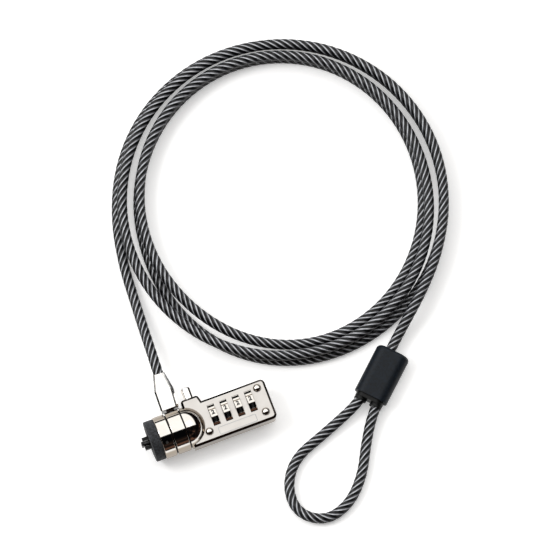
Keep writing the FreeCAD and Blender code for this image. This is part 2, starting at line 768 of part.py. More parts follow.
def coil_place(turn):
    """A point of the coil: turn is in degrees from its left side, clockwise from above."""
    angle = math.radians(COIL_LEFT - turn)
    radius = coil_radius(turn)
    height = value("rope") / 2 + LAYER * ease(610.0, 75.0, turn)
    return Vector(COIL_CENTRE[0] + radius * math.cos(angle), COIL_CENTRE[1] + radius * math.sin(angle), height)


def coil_way(turn):
    return (coil_place(turn + 0.5) - coil_place(turn - 0.5)).normalize()


LEAD_ROUTE = [(-14.91, 15.7, 11.45), (-13.57, 39.59, 11.45), (-12.6, 56.1, 6.2), (-11.5, 71.6, 2.75)]
LEAD_IN = 9.0
TAIL_OUT = 12.0
SLEEVE_TOP = (105.6, -3.0, 5.3)
SLEEVE_TURN = 222.4
EYE_ROUTE = [(56.1, -30.6, 2.75), (37.2, -37.3, 2.75), (27.8, -50.6, 2.75), (28.2, -65.6, 2.75),
             (40.8, -74.3, 2.75), (55.6, -70.0, 2.75), (67.2, -57.8, 2.75), (74.4, -43.6, 3.0)]


def sleeve_place(along, across):
    """A point of the sleeve's middle plane, from its top along its axis and to the eye's right leg."""
    turn = math.radians(SLEEVE_TURN)
    return Vector(*SLEEVE_TOP) + Vector(math.cos(turn), math.sin(turn), 0) * along \
        + Vector(-math.sin(turn), math.cos(turn), 0) * across


def rounded_route(points):
    """Straight runs joined by tangent arcs, each as large as its runs allow; returns edges and radii."""
    edges = []
    radii = []
    at = points[0]
    for before, corner, after in zip(points, points[1:], points[2:]):
        way_in = (corner - before).normalize()
        way_out = (after - corner).normalize()
        turn = way_in.getAngle(way_out)
        reach = 0.45 * min((corner - before).Length, (after - corner).Length)
        radius = reach / math.tan(turn / 2)
        start = corner - way_in * reach
        end = corner + way_out * reach
        inward = (way_out - way_in).normalize()
        middle = corner + inward * (radius / math.cos(turn / 2) - radius)
        edges.append(Part.LineSegment(at, start).toShape())
        edges.append(Part.Arc(start, middle, end).toShape())
        radii.append(radius)
        at = end
    edges.append(Part.LineSegment(at, points[-1]).toShape())
    return edges, radii


def arc_from(start, way, end):
    """The arc that leaves start along way and ends at end, with its tangent there."""
    chord = end - start
    side = (chord - way * chord.dot(way)).normalize()
    radius = chord.Length ** 2 / (2 * chord.dot(side))
    centre = start + side * radius
    half = math.atan2(chord.dot(side), chord.dot(way))
    middle = centre - side * (radius * math.cos(half)) + way * (radius * math.sin(half))
    last = side * math.sin(2 * half) + way * math.cos(2 * half)
    return Part.Arc(start, middle, end).toShape(), last, radius


def biarc(start, way, end, end_way):
    """Two tangent arcs between two points with given directions."""
    chord = end - start
    a = 2 * (1 - way.dot(end_way))
    b = chord.dot(way + end_way)
    reach = (-b + math.sqrt(b * b + a * chord.Length ** 2)) / a
    joint = (start + end + (way - end_way) * reach) * 0.5
    first, middle_way, radius_1 = arc_from(start, way, joint)
    second, _, radius_2 = arc_from(joint, middle_way, end)
    return [first, second], [radius_1, radius_2]


def tube(label, edges):
    """A round rope along the edges, checked against its section times its length."""
    spine = Part.Wire(edges)
    start = edges[0].valueAt(edges[0].FirstParameter)
    way = edges[0].tangentAt(edges[0].FirstParameter)
    section = Part.Wire(Part.Circle(start, way, value("rope") / 2).toShape())
    shape = spine.makePipeShell([section], True, False)
    expected = math.pi * (value("rope") / 2) ** 2 * spine.Length
    print(f"{label}: length {spine.Length:.1f}, volume {shape.Volume:.0f} of {expected:.0f}")
    item = doc.addObject("Part::Feature", label + "_rope")
    item.Shape = shape
    item.Label = label
    nodes[label] = item
    return spine


def least_gap(spine, count):
    """The least gap of a wound tube to itself, on evenly spaced points of its middle line."""
    points = spine.discretize(Number=count)
    step = spine.Length / (count - 1)
    apart = int(60.0 / step)
    least = min((points[i] - points[j]).Length for i in range(count) for j in range(i + apart, count))
    return least - value("rope")


def cable():
    start, end = coil_place(COIL_FROM), coil_place(COIL_TO)
    first_way, last_way = coil_way(COIL_FROM), coil_way(COIL_TO)
    lead = [Vector(*p) for p in LEAD_ROUTE] + [start - first_way * LEAD_IN, start]
    edges, radii = rounded_route(lead)
    print("lead radii", [round(r) for r in radii])
    tube("cable_lead", edges)
    edges, radii = [], []
    step = (COIL_TO - COIL_FROM) / COIL_BIARCS
    for k in range(COIL_BIARCS):
        low, high = COIL_FROM + k * step, COIL_FROM + (k + 1) * step
        pair, both = biarc(coil_place(low), coil_way(low), coil_place(high), coil_way(high))
        edges += pair
        radii += both
    spine = tube("cable_coil", edges)
    print("coil radii", round(min(radii)), "to", round(max(radii)), "least gap", round(least_gap(spine, 1500), 2))
    aside = -value("tail_offset")
    tail = [end, end + last_way * TAIL_OUT, sleeve_place(-9.0, aside), sleeve_place(value("crimp_start"), aside)]
    edges, radii = rounded_route(tail)
    print("tail radii", [round(r) for r in radii])
    tube("cable_tail", edges)
    legs = [value("leg_start"), value("collar_reach") + 2.0]
    eye = [sleeve_place(x, -value("leg_offset")) for x in legs] + [Vector(*p) for p in EYE_ROUTE]
    eye += [sleeve_place(x, value("leg_offset")) for x in reversed(legs)]
    edges, radii = rounded_route(eye)
    print("eye radii", [round(r) for r in radii])
    tube("cable_eye", edges)


def place_sleeve(item):
    """Lay a piece drawn along +X from the sleeve's top where the sleeve lies."""
    item.Placement = Placement(Vector(*SLEEVE_TOP), Rotation(Vector(0, 0, 1), SLEEVE_TURN))
    nodes[item.Label] = item


def flat_oval(name, start, length, wide, thick):
    """A flattened oval bar along X: two rods and the block between them."""
    radius = f"({thick}) / 2"
    rods = [rod(f"{name}_side_{i}", "x", (start, f"{sign}(({wide}) - ({thick})) / 2", "0"), radius, length)
            for i, sign in enumerate(("", "-"))]
    middle = block(name + "_middle", (start, f"-(({wide}) - ({thick})) / 2", f"-({thick}) / 2"),
                   (length, f"({wide}) - ({thick})", thick))
    return joined(name + "_oval", middle, *rods)


def ferrule_sleeve():
    """The plastic sleeve over the crimp, round at its closed end and open at the eye."""
    oval = flat_oval("sleeve_out", "0", "sleeve_long", "sleeve_wide", "sleeve_thick")
    size = value("sleeve_round")
    outside = doc.addObject("Part::Fillet", "sleeve_rounded")
    outside.Base = oval
    outside.Edges = [(int(e[4:]), size, size) for e in edges_where(oval, lambda e, m: near(m.x, 0))]
    inside = flat_oval("sleeve_in", "sleeve_roof", "sleeve_long", "crimp_wide + 2 * running",
                       "crimp_thick + 2 * running")
    entry = rod("sleeve_entry", "x", ("-1", "-tail_offset", "0"), "rope / 2", "6")
    sleeve = cut("sleeve", outside, inside, entry)
    sleeve.Label = "ferrule_sleeve"
    place_sleeve(sleeve)


def crimp_sleeve():
    """The metal crimp that grips the rope and both legs of the eye, with a collar round each leg."""
    oval = flat_oval("crimp_out", "crimp_start", "crimp_end - crimp_start", "crimp_wide", "crimp_thick")
    collars, bores = [], []
    for i, sign in enumerate(("", "-")):
        collars.append(rod(f"leg_collar_{i}", "x", ("crimp_end - 1", f"{sign}leg_offset", "0"),
                           "rope / 2 + collar_wall", "collar_reach - crimp_end + 1"))
        bores.append(rod(f"leg_bore_{i}", "x", ("leg_start", f"{sign}leg_offset", "0"),
                         "rope / 2 + leg_clear", "collar_reach"))
    crimp = cut("crimp", joined("crimp_blank", oval, *collars), *bores)
    crimp.Label = "crimp_sleeve"
    place_sleeve(crimp)


def build():
    rubber_pad()
    front_collar()
    collar_pin()
    guide_pins()
    t_bar()
    swivel_ring()
    yoke_pin()
    swivel_washers()
    yoke()
    yoke_plug()
    body_housing()
    face_plate()
    face_rivets()
    push_button()
    button_spring()
    for k, x in enumerate(dial_places(), start=1):
        number_dial(k, x)
        code_hub(k, x)
    dial_shaft()
    dial_spacers()
    detent_spring()
    code_screw()
    cable()
    ferrule_sleeve()
    crimp_sleeve()
    doc.recompute()


def write_parts():
    for item in doc.Objects:
        bad = {"Invalid", "Error"} & set(item.State)
        if bad:
            raise RuntimeError(f"{item.Name} is {bad}")
    os.makedirs("parts", exist_ok=True)
    for label, item in nodes.items():
        shape = item.Shape
        if shape.isNull() or not shape.isValid() or not shape.Solids:
            raise RuntimeError(f"{label} has no valid solid")
        shape.exportStep(f"parts/{label}.step")
        box = shape.BoundBox
        print(f"{label}: {len(shape.Solids)} solid, {shape.Volume:.1f} mm3, "
              f"x {box.XMin:.2f} {box.XMax:.2f} y {box.YMin:.2f} {box.YMax:.2f} z {box.ZMin:.2f} {box.ZMax:.2f}")


build()
write_parts()
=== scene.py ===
import math

import bmesh
import bpy
import numpy as np
from mathutils import Matrix, Vector


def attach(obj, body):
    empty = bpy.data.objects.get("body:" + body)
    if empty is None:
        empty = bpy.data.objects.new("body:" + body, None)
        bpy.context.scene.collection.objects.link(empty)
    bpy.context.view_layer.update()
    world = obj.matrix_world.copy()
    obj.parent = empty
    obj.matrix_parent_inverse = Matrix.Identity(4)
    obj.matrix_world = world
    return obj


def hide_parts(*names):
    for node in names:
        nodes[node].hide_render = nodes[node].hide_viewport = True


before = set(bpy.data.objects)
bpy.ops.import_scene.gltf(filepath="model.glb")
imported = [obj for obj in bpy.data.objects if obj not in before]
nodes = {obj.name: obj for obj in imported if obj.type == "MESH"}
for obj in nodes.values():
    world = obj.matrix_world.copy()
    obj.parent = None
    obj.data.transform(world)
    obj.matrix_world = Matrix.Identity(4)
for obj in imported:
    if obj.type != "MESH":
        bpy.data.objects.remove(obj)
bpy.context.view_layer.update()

MM = 0.001

# The head's sizes in millimetres, in its own drawing, which has the barrel's axis on X and the T-bar's
# end at low x. HEAD is where that drawing lies in the part's frame.
HEAD = Vector((-31.1, -4.35, 11.45))
PLATE_FACE = 4.9
RING_X = 15.6
YOKE_FOOT_Y = 12.55
DIAL_AXIS_Y = 1.0
FIRST_DIAL_X = 36.0
DIAL_PITCH = 6.86
DIALS = 4
DIAL_TURN = 6


def head(x, y, z):
    """A point of the head's drawing, in millimetres, as a point of the scene, in metres."""
    return (Vector((x, y, z)) + HEAD) * MM


# Materials

BLACK = (0, 0, 0, 1)
WHITE = (1, 1, 1, 1)


def paint(code):
    """An sRGB hex colour as Blender's linear values."""
    channels = []
    for start in (1, 3, 5):
        level = int(code[start:start + 2], 16) / 255
        channels.append(level / 12.92 if level <= 0.04045 else ((level + 0.055) / 1.055) ** 2.4)
    return (*channels, 1.0)


def grey(level):
    """A linear grey, for a ramp that gives a roughness."""
    return (level, level, level, 1)


def add_node(tree, kind, settings=None, **links):
    """One node with its settings and links. A setting's name is a property or an input; a link gives an
    output socket, and its word is the input's name with _ for a space."""
    node = tree.nodes.new(kind)
    for name, value in (settings or {}).items():
        if isinstance(name, int) or name in node.inputs:
            node.inputs[name].default_value = value
        else:
            setattr(node, name, value)
    for name, socket in links.items():
        tree.links.new(socket, node.inputs[name.replace("_", " ")])
    return node


def math_step(tree, operation, first, second, third=None):
    """One step of arithmetic on sockets and numbers."""
    node = add_node(tree, "ShaderNodeMath", {"operation": operation})
    for socket, entry in zip(node.inputs, (first, second, third)):
        if isinstance(entry, (int, float)):
            socket.default_value = entry
        elif entry is not None:
            tree.links.new(entry, socket)
    return node.outputs[0]


def new_finish(name):
    """An empty material with its shader and output."""
    finish = bpy.data.materials.new(name)
    finish.use_nodes = True
    tree = finish.node_tree
    tree.nodes.clear()
    shader = add_node(tree, "ShaderNodeBsdfPrincipled")
    output = add_node(tree, "ShaderNodeOutputMaterial")
    tree.links.new(shader.outputs["BSDF"], output.inputs["Surface"])
    return finish, tree, shader


def ramp(tree, factor, *stops):
    """A colour ramp through (place, colour) stops."""
    node = add_node(tree, "ShaderNodeValToRGB")
    elements = node.color_ramp.elements
    while len(elements) < len(stops):
        elements.new(0.5)
    for element, (place, colour) in zip(elements, stops):
        element.position = place
        element.color = colour
    tree.links.new(factor, node.inputs["Fac"])
    return node


def bump(tree, shader, height, strength, distance):
    """Fine relief by shading alone; the distance is the grain's depth in metres."""
    node = add_node(tree, "ShaderNodeBump", {"Strength": strength, "Distance": distance}, Height=height)
    tree.links.new(node.outputs["Normal"], shader.inputs["Normal"])


def polished_chrome():
    """Plated zinc casting, polished before plating: a mirror with hardly any haze and faint handling marks.
    The flanks that face sideways and towards the ground have a darker, warmer base colour: painted reflection
    of the shaded floor."""
    finish, tree, shader = new_finish("polished_chrome_plate")
    texture = add_node(tree, "ShaderNodeTexCoord")
    facing = add_node(tree, "ShaderNodeSeparateXYZ", None, Vector=texture.outputs["Normal"])
    upper = add_node(tree, "ShaderNodeMath", {"operation": "MULTIPLY_ADD", 1: -0.16})
    tree.links.new(facing.outputs["Y"], upper.inputs[0])
    tree.links.new(facing.outputs["Z"], upper.inputs[2])
    # Normals leaning away from straight up take the dark beige #9C9286: painted reflection of the shaded floor
    painted_reflection_mask = ramp(tree, upper.outputs[0], (0.64, BLACK), (0.70, WHITE))
    smudge = add_node(tree, "ShaderNodeTexNoise", {"Scale": 180.0, "Detail": 3.0},
                      Vector=texture.outputs["Object"])
    haze = ramp(tree, smudge.outputs["Fac"], (0.35, grey(0.02)), (0.75, grey(0.06)))
    bright = ramp(tree, smudge.outputs["Fac"], (0.3, paint("#DCD8D2")), (0.7, paint("#D5D1CB")))
    tint = add_node(tree, "ShaderNodeMix", {"data_type": "RGBA", 6: paint("#9C9286")},
                    Factor=painted_reflection_mask.outputs["Color"])
    tree.links.new(bright.outputs["Color"], tint.inputs[7])
    tree.links.new(haze.outputs["Color"], shader.inputs["Roughness"])
    tree.links.new(tint.outputs[2], shader.inputs["Base Color"])
    shader.inputs["Metallic"].default_value = 1.0
    return finish


def satin_nickel():
    """Plate with a bead-blasted face and a bright-cut bevel: the face is soft and pale with an even 0.4 mm
    grain, real grit being finer, and whatever doesn't face straight up is a mirror with a dark brown base:
    painted shade."""
    finish, tree, shader = new_finish("blasted_plate_with_painted_dark_bevel")
    texture = add_node(tree, "ShaderNodeTexCoord")
    place = texture.outputs["Object"]
    upward = add_node(tree, "ShaderNodeSeparateXYZ", None, Vector=texture.outputs["Normal"])
    grain = add_node(tree, "ShaderNodeTexNoise", {"Scale": 2500.0, "Detail": 4.0}, Vector=place)
    cloud = add_node(tree, "ShaderNodeTexNoise", {"Scale": 120.0, "Detail": 2.0}, Vector=place)
    pale = ramp(tree, cloud.outputs["Fac"], (0.3, paint("#C6C3BF")), (0.7, paint("#BFBBB7")))
    facing = ramp(tree, upward.outputs["Z"], (0.93, BLACK), (0.97, WHITE))
    haze = ramp(tree, facing.outputs["Color"], (0.0, grey(0.1)), (1.0, grey(0.38)))
    # Faces that don't face straight up take the dark brown #3A3430: painted shade along the bevel and sides
    tint = add_node(tree, "ShaderNodeMix", {"data_type": "RGBA", 6: paint("#3A3430")},
                    Factor=facing.outputs["Color"])
    tree.links.new(pale.outputs["Color"], tint.inputs[7])
    tree.links.new(tint.outputs[2], shader.inputs["Base Color"])
    tree.links.new(haze.outputs["Color"], shader.inputs["Roughness"])
    shader.inputs["Metallic"].default_value = 1.0
    bump(tree, shader, grain.outputs["Fac"], 0.2, 0.00003)
    return finish


def moulded_rubber():
    """Moulded nitrile rubber pad: dark grey, matt, with a skin grained at about 0.7 mm."""
    finish, tree, shader = new_finish("grained_rubber_pad")
    place = add_node(tree, "ShaderNodeTexCoord").outputs["Object"]
    grain = add_node(tree, "ShaderNodeTexVoronoi", {"Scale": 1500.0}, Vector=place)
    cloud = add_node(tree, "ShaderNodeTexNoise", {"Scale": 1100.0, "Detail": 3.0}, Vector=place)
    tint = ramp(tree, cloud.outputs["Fac"], (0.38, paint("#07080A")), (0.62, paint("#2F3237")))
    tree.links.new(tint.outputs["Color"], shader.inputs["Base Color"])
    shader.inputs["Roughness"].default_value = 0.75
    bump(tree, shader, grain.outputs["Distance"], 0.5, 0.0002)
    return finish


def moulded_black():
    """Black nylon moulding: matt with a faint sheen."""
    finish, tree, shader = new_finish("moulded_black_nylon")
    place = add_node(tree, "ShaderNodeTexCoord").outputs["Object"]
    cloud = add_node(tree, "ShaderNodeTexNoise", {"Scale": 700.0, "Detail": 3.0}, Vector=place)
    tint = ramp(tree, cloud.outputs["Fac"], (0.35, paint("#060707")), (0.7, paint("#0E0F10")))
    tree.links.new(tint.outputs["Color"], shader.inputs["Base Color"])
    shader.inputs["Roughness"].default_value = 0.4
    shader.inputs["Specular IOR Level"].default_value = 0.2
    return finish


def sleeve_moulding():
    """Blue-black PVC sleeve: matt, with moulding grain of about 1.2 mm, drawn coarser than the real 0.5 mm."""
    finish, tree, shader = new_finish("blue_black_pvc_sleeve")
    place = add_node(tree, "ShaderNodeTexCoord").outputs["Object"]
    cloud = add_node(tree, "ShaderNodeTexNoise", {"Scale": 800.0, "Detail": 4.0}, Vector=place)
    tint = ramp(tree, cloud.outputs["Fac"], (0.3, paint("#070C12")), (0.7, paint("#0E1822")))
    tree.links.new(tint.outputs["Color"], shader.inputs["Base Color"])
    shader.inputs["Roughness"].default_value = 0.5
    shader.inputs["Specular IOR Level"].default_value = 0.22
    bump(tree, shader, cloud.outputs["Fac"], 0.3, 0.0001)
    return finish


def machined_steel():
    """Plain turned steel of the pins, the plate's raised frame and the hidden pieces: grey with turning marks
    about 0.6 mm apart, real ones being finer."""
    finish, tree, shader = new_finish("turned_plain_steel")
    place = add_node(tree, "ShaderNodeTexCoord").outputs["Object"]
    marks = add_node(tree, "ShaderNodeTexWave", {"Scale": 500.0, "Distortion": 1.0, "Detail": 2.0},
                     Vector=place)
    tint = ramp(tree, marks.outputs["Fac"], (0.2, paint("#8F9091")), (0.8, paint("#B5B6B7")))
    tree.links.new(tint.outputs["Color"], shader.inputs["Base Color"])
    shader.inputs["Metallic"].default_value = 1.0
    shader.inputs["Roughness"].default_value = 0.35
    return finish


def blackened_steel():
    """Case-hardened T-bar, blackened in oil: near black with bright rubbed spots."""
    finish, tree, shader = new_finish("oil_blackened_steel")
    place = add_node(tree, "ShaderNodeTexCoord").outputs["Object"]
    rub = add_node(tree, "ShaderNodeTexNoise", {"Scale": 500.0, "Detail": 4.0}, Vector=place)
    tint = ramp(tree, rub.outputs["Fac"], (0.45, paint("#1A1A1B")), (0.8, paint("#4C4C4D")))
    tree.links.new(tint.outputs["Color"], shader.inputs["Base Color"])
    shader.inputs["Metallic"].default_value = 0.8
    shader.inputs["Roughness"].default_value = 0.3
    return finish


def turned_brass():
    """Turned brass hubs: warm yellow with fine turning marks."""
    finish, tree, shader = new_finish("turned_brass")
    place = add_node(tree, "ShaderNodeTexCoord").outputs["Object"]
    marks = add_node(tree, "ShaderNodeTexWave", {"Scale": 400.0, "Distortion": 0.6}, Vector=place)
    tint = ramp(tree, marks.outputs["Fac"], (0.2, paint("#B08D4A")), (0.8, paint("#CBA965")))
    tree.links.new(tint.outputs["Color"], shader.inputs["Base Color"])
    shader.inputs["Metallic"].default_value = 1.0
    shader.inputs["Roughness"].default_value = 0.3
    return finish


def satin_yoke_metal():
    """Die-cast yoke and push button, vibro-polished and plated: brighter than the plate, with a soft gloss.
    What lies below the end face of the yoke's foot, as its tongue does, is painted near black: painted shade
    of the gap between the yoke and the ring, which the ring mirrors."""
    finish, tree, shader = new_finish("vibro_polished_plate")
    place = add_node(tree, "ShaderNodeTexCoord").outputs["Object"]
    parts = add_node(tree, "ShaderNodeSeparateXYZ", None, Vector=place)
    cloud = add_node(tree, "ShaderNodeTexNoise", {"Scale": 260.0, "Detail": 3.0}, Vector=place)
    haze = ramp(tree, cloud.outputs["Fac"], (0.3, grey(0.05)), (0.7, grey(0.12)))
    tree.links.new(haze.outputs["Color"], shader.inputs["Roughness"])
    foot_end = head(RING_X, YOKE_FOOT_Y, 0).y
    # Below the foot's end face the colour is near black #1C1714: painted shade of the gap at the ring
    outside_painted_shade = add_node(tree, "ShaderNodeMath", {"operation": "GREATER_THAN", 1: foot_end})
    tree.links.new(parts.outputs["Y"], outside_painted_shade.inputs[0])
    tint = ramp(tree, outside_painted_shade.outputs[0], (0.0, paint("#1C1714")), (1.0, paint("#EFEDEA")))
    tree.links.new(tint.outputs["Color"], shader.inputs["Base Color"])
    shader.inputs["Metallic"].default_value = 1.0
    return finish


def coated_wire_rope():
    """Steel rope seen through a smoky clear PVC coat: each strand is a pale streak of three wires, the steel's
    grey with painted highlight set to one side of its crest, the valleys between the strands are near black,
    partly painted shade, and the coat is softly glossy. The upper side is painted brighter: painted light from
    above."""
    finish, tree, shader = new_finish("smoky_coated_wire_rope")
    cosine = add_node(tree, "ShaderNodeAttribute", {"attribute_name": "strand_cos"}).outputs["Fac"]
    sine = add_node(tree, "ShaderNodeAttribute", {"attribute_name": "strand_sin"}).outputs["Fac"]
    texture = add_node(tree, "ShaderNodeTexCoord")
    facing = add_node(tree, "ShaderNodeSeparateXYZ", None, Vector=texture.outputs["Normal"])
    cloud = add_node(tree, "ShaderNodeTexNoise", {"Scale": 420.0, "Detail": 3.0},
                     Vector=texture.outputs["Object"])

    # cos 3x = 4 cos^3 x - 3 cos x, for the three wires that show on a strand
    cubed = math_step(tree, "MULTIPLY", math_step(tree, "MULTIPLY", cosine, cosine), cosine)
    wires = math_step(tree, "MULTIPLY_ADD", cosine, -3.0, math_step(tree, "MULTIPLY", cubed, 4.0))
    # Each strand's crest is painted lighter and its valleys darker: painted highlight and painted shade over
    # the steel's grey; the sine term moves the highlight to one side of the crest
    level = math_step(tree, "MULTIPLY_ADD", cosine, -0.42, 0.40)
    level = math_step(tree, "MULTIPLY_ADD", sine, 0.14, level)
    level = math_step(tree, "MULTIPLY_ADD", wires, -0.09, level)
    level = math_step(tree, "MULTIPLY_ADD", cloud.outputs["Fac"], 0.22, level)
    # Upward-facing parts of the rope are painted brighter: painted light from above
    level = math_step(tree, "MULTIPLY_ADD", facing.outputs["Z"], 0.30, math_step(tree, "ADD", level, -0.21))
    tint = ramp(tree, level, (0.28, paint("#010202")), (0.52, paint("#0B0C10")), (0.70, paint("#3E4044")),
                (0.86, paint("#85858B")), (0.96, paint("#D6D9DE")))
    tree.links.new(tint.outputs["Color"], shader.inputs["Base Color"])
    shader.inputs["Roughness"].default_value = 0.42
    shader.inputs["Specular IOR Level"].default_value = 0.2
    shader.inputs["Coat Weight"].default_value = 0.2
    shader.inputs["Coat Roughness"].default_value = 0.2
    return finish


def dial_black():
    """Black lacquer filled into the numerals of the dials; the plated flats round them stay bright."""
    finish, tree, shader = new_finish("dial_lacquer")
    place = add_node(tree, "ShaderNodeTexCoord").outputs["Object"]
    cloud = add_node(tree, "ShaderNodeTexNoise", {"Scale": 900.0, "Detail": 2.0}, Vector=place)
    tint = ramp(tree, cloud.outputs["Fac"], (0.3, paint("#121212")), (0.7, paint("#1F1F20")))
    tree.links.new(tint.outputs["Color"], shader.inputs["Base Color"])
    shader.inputs["Roughness"].default_value = 0.35
    return finish


CHROME = polished_chrome()
NICKEL = satin_nickel()
RUBBER = moulded_rubber()
NYLON = moulded_black()
SLEEVE = sleeve_moulding()
STEEL = machined_steel()
BLACK_STEEL = blackened_steel()
BRASS = turned_brass()
YOKE_METAL = satin_yoke_metal()
ROPE = coated_wire_rope()
LACQUER = dial_black()

NODE_FINISH = {
    "rubber_pad": RUBBER, "front_collar": CHROME, "collar_pin": STEEL, "guide_pins": NYLON,
    "t_bar": BLACK_STEEL, "swivel_ring": CHROME, "yoke_pin": STEEL, "swivel_washers": NYLON,
    "yoke": YOKE_METAL, "yoke_plug": STEEL, "body_housing": CHROME, "face_plate": NICKEL,
    "face_rivets": CHROME, "push_button": YOKE_METAL, "button_spring": STEEL, "dial_shaft": STEEL,
    "dial_spacers": STEEL, "detent_spring": STEEL, "code_screw": STEEL, "ferrule_sleeve": SLEEVE,
    "crimp_sleeve": NYLON,
}
for name, node in nodes.items():
    finish = NODE_FINISH.get(name)
    if name.startswith("dial_") and name[5:].isdigit():
        finish = CHROME
    elif name.startswith("code_hub"):
        finish = BRASS
    if finish:
        node.data.materials.clear()
        node.data.materials.append(finish)


def new_piece(name, mesh_source, finish, body, slot, *replaced):
    """Link a finished bmesh as a piece that rides on a body."""
    mesh = bpy.data.meshes.new(name)
    mesh_source.to_mesh(mesh)
    mesh_source.free()
    for face in mesh.polygons:
        face.use_smooth = True
    mesh.materials.append(finish)
    piece = bpy.data.objects.new(name, mesh)
    bpy.context.scene.collection.objects.link(piece)
    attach(piece, body)
    if replaced:
        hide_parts(*replaced)
    return piece


# The cable: its route repeats the part's source, in millimetres and degrees

ROPE_DIAMETER = 5.5
COIL_CENTRE = (78.7, 93.7)
COIL_LEFT = 159.3
COIL_FROM = -22.0
COIL_TO = 1294.0
COIL_POINTS = 120
OUTER_RADIUS = 86.2
INNER_RADIUS = 76.8
INNER_OVAL = 1.8
LAYER = 6.0

# Where the loops go in, out again and up onto the second layer: the turn it starts at, and how long it takes
GO_IN = (255.0, 90.0)
GO_OUT = (830.0, 200.0)
GO_UP = (610.0, 75.0)

# The inner loop is pushed in where the next one crosses, and the upper loops lie a little inside the lower
DENT_DEPTH = 3.0
DENT_TURN = 668.0
DENT_WIDTH = 45.0
UPPER_SHIFT = 1.4
UPPER_OVAL = 1.2

# Both ends of the coil open out towards the lead and the tail
LEAD_OPENS_BEFORE = 5.0
LEAD_OPENING = 0.0035
TAIL_OPENS_AFTER = 1262.0
TAIL_OPENING = 0.003

LEAD_ROUTE = [(-14.91, 15.7, 11.45), (-13.57, 39.59, 11.45), (-12.6, 56.1, 6.2), (-11.5, 71.6, 2.75)]
LEAD_IN = 9.0
TAIL_OUT = 12.0

# The ferrule sleeve and the crimp in it, measured from the sleeve's top along its axis
SLEEVE_TOP = (105.6, -3.0, 5.3)
SLEEVE_TURN = 222.4
TAIL_AHEAD = 9.0
CRIMP_START = 4.0
LEG_START = 23.4
LEG_EASE = 8.0
COLLAR_REACH = 31.3
COLLAR_PAST = 2.0
LEG_OFFSET = 4.4
TAIL_OFFSET = 2.1
EYE_ROUTE = [(56.1, -30.6, 2.75), (37.2, -37.3, 2.75), (27.8, -50.6, 2.75), (28.2, -65.6, 2.75),
             (40.8, -74.3, 2.75), (55.6, -70.0, 2.75), (67.2, -57.8, 2.75), (74.4, -43.6, 3.0)]


def ease(low, width, turn):
    """0 before low, 1 after low + width, smooth between."""
    share = min(max((turn - low) / width, 0.0), 1.0)
    return share * share * (3.0 - 2.0 * share)


def coil_radius(turn):
    """How far from the coil's centre the rope lies at a turn in degrees."""
    inner = ease(*GO_IN, turn) - ease(*GO_OUT, turn)
    upper = ease(*GO_UP, turn)
    angle = math.radians(turn)
    radius = OUTER_RADIUS
    radius -= inner * (OUTER_RADIUS - INNER_RADIUS + INNER_OVAL * math.cos(2 * angle))
    radius -= DENT_DEPTH * math.exp(-((turn - DENT_TURN) / DENT_WIDTH) ** 2)
    radius -= upper * (1.0 - inner) * (UPPER_SHIFT + UPPER_OVAL * math.cos(angle))
    radius += LEAD_OPENING * max(0.0, LEAD_OPENS_BEFORE - turn) ** 2
    radius += TAIL_OPENING * max(0.0, turn - TAIL_OPENS_AFTER) ** 2
    return radius


def coil_place(turn):
    """The rope's centre at a turn in degrees; the turns are counted clockwise from the coil's left."""
    angle = math.radians(COIL_LEFT - turn)
    radius = coil_radius(turn)
    height = ROPE_DIAMETER / 2 + LAYER * ease(*GO_UP, turn)
    return Vector((COIL_CENTRE[0] + radius * math.cos(angle),
                   COIL_CENTRE[1] + radius * math.sin(angle), height))


def coil_way(turn):
    """The rope's direction at a turn in degrees."""
    return (coil_place(turn + 0.5) - coil_place(turn - 0.5)).normalized()


def sleeve_place(along, across):
    """A point of the sleeve's middle plane, from its top along its axis and to the eye's right leg."""
    turn = math.radians(SLEEVE_TURN)
    return Vector(SLEEVE_TOP) + Vector((math.cos(turn), math.sin(turn), 0)) * along \
        + Vector((-math.sin(turn), math.cos(turn), 0)) * across


def cable_route():
    """All the cable's points in millimetres: lead, coil, tail, the way through the crimp, and the eye."""
    points = [Vector(p) for p in LEAD_ROUTE]
    points.append(coil_place(COIL_FROM) - coil_way(COIL_FROM) * LEAD_IN)
    whole = COIL_TO - COIL_FROM
    points += [coil_place(COIL_FROM + whole * k / COIL_POINTS) for k in range(COIL_POINTS + 1)]
    points.append(coil_place(COIL_TO) + coil_way(COIL_TO) * TAIL_OUT)
    points += [sleeve_place(x, -TAIL_OFFSET) for x in (-TAIL_AHEAD, CRIMP_START)]
    points += [sleeve_place(x, -LEG_OFFSET)
               for x in (LEG_START - LEG_EASE, LEG_START, COLLAR_REACH + COLLAR_PAST)]
    points += [Vector(p) for p in EYE_ROUTE]
    points += [sleeve_place(x, LEG_OFFSET) for x in (COLLAR_REACH + COLLAR_PAST, LEG_START)]
    return points


def smooth_line(points, resolution):
    """The points of the smooth curve that has the route's points as its control points."""
    data = bpy.data.curves.new("cable_line", "CURVE")
    data.dimensions = "3D"
    spline = data.splines.new("NURBS")
    spline.points.add(len(points) - 1)
    for knot, point in zip(spline.points, points):
        knot.co = (*(point * MM), 1.0)
    spline.order_u = 3
    spline.use_endpoint_u = True
    spline.resolution_u = resolution
    line = bpy.data.objects.new("cable_line", data)
    bpy.context.scene.collection.objects.link(line)
    mesh = bpy.data.meshes.new_from_object(line.evaluated_get(bpy.context.evaluated_depsgraph_get()))
    found = np.array([v.co for v in mesh.vertices])
    bpy.data.objects.remove(line)
    bpy.data.meshes.remove(mesh)
    return found


def evenly(line, step):
    """The line's points again, evenly spaced, and its length."""
    lengths = np.linalg.norm(np.diff(line, axis=0), axis=1)
    along = np.concatenate([[0], np.cumsum(lengths)])
    count = int(along[-1] / step)
    wanted = np.linspace(0, along[-1], count + 1)
    return np.stack([np.interp(wanted, along, line[:, k]) for k in range(3)], axis=1), along[-1]


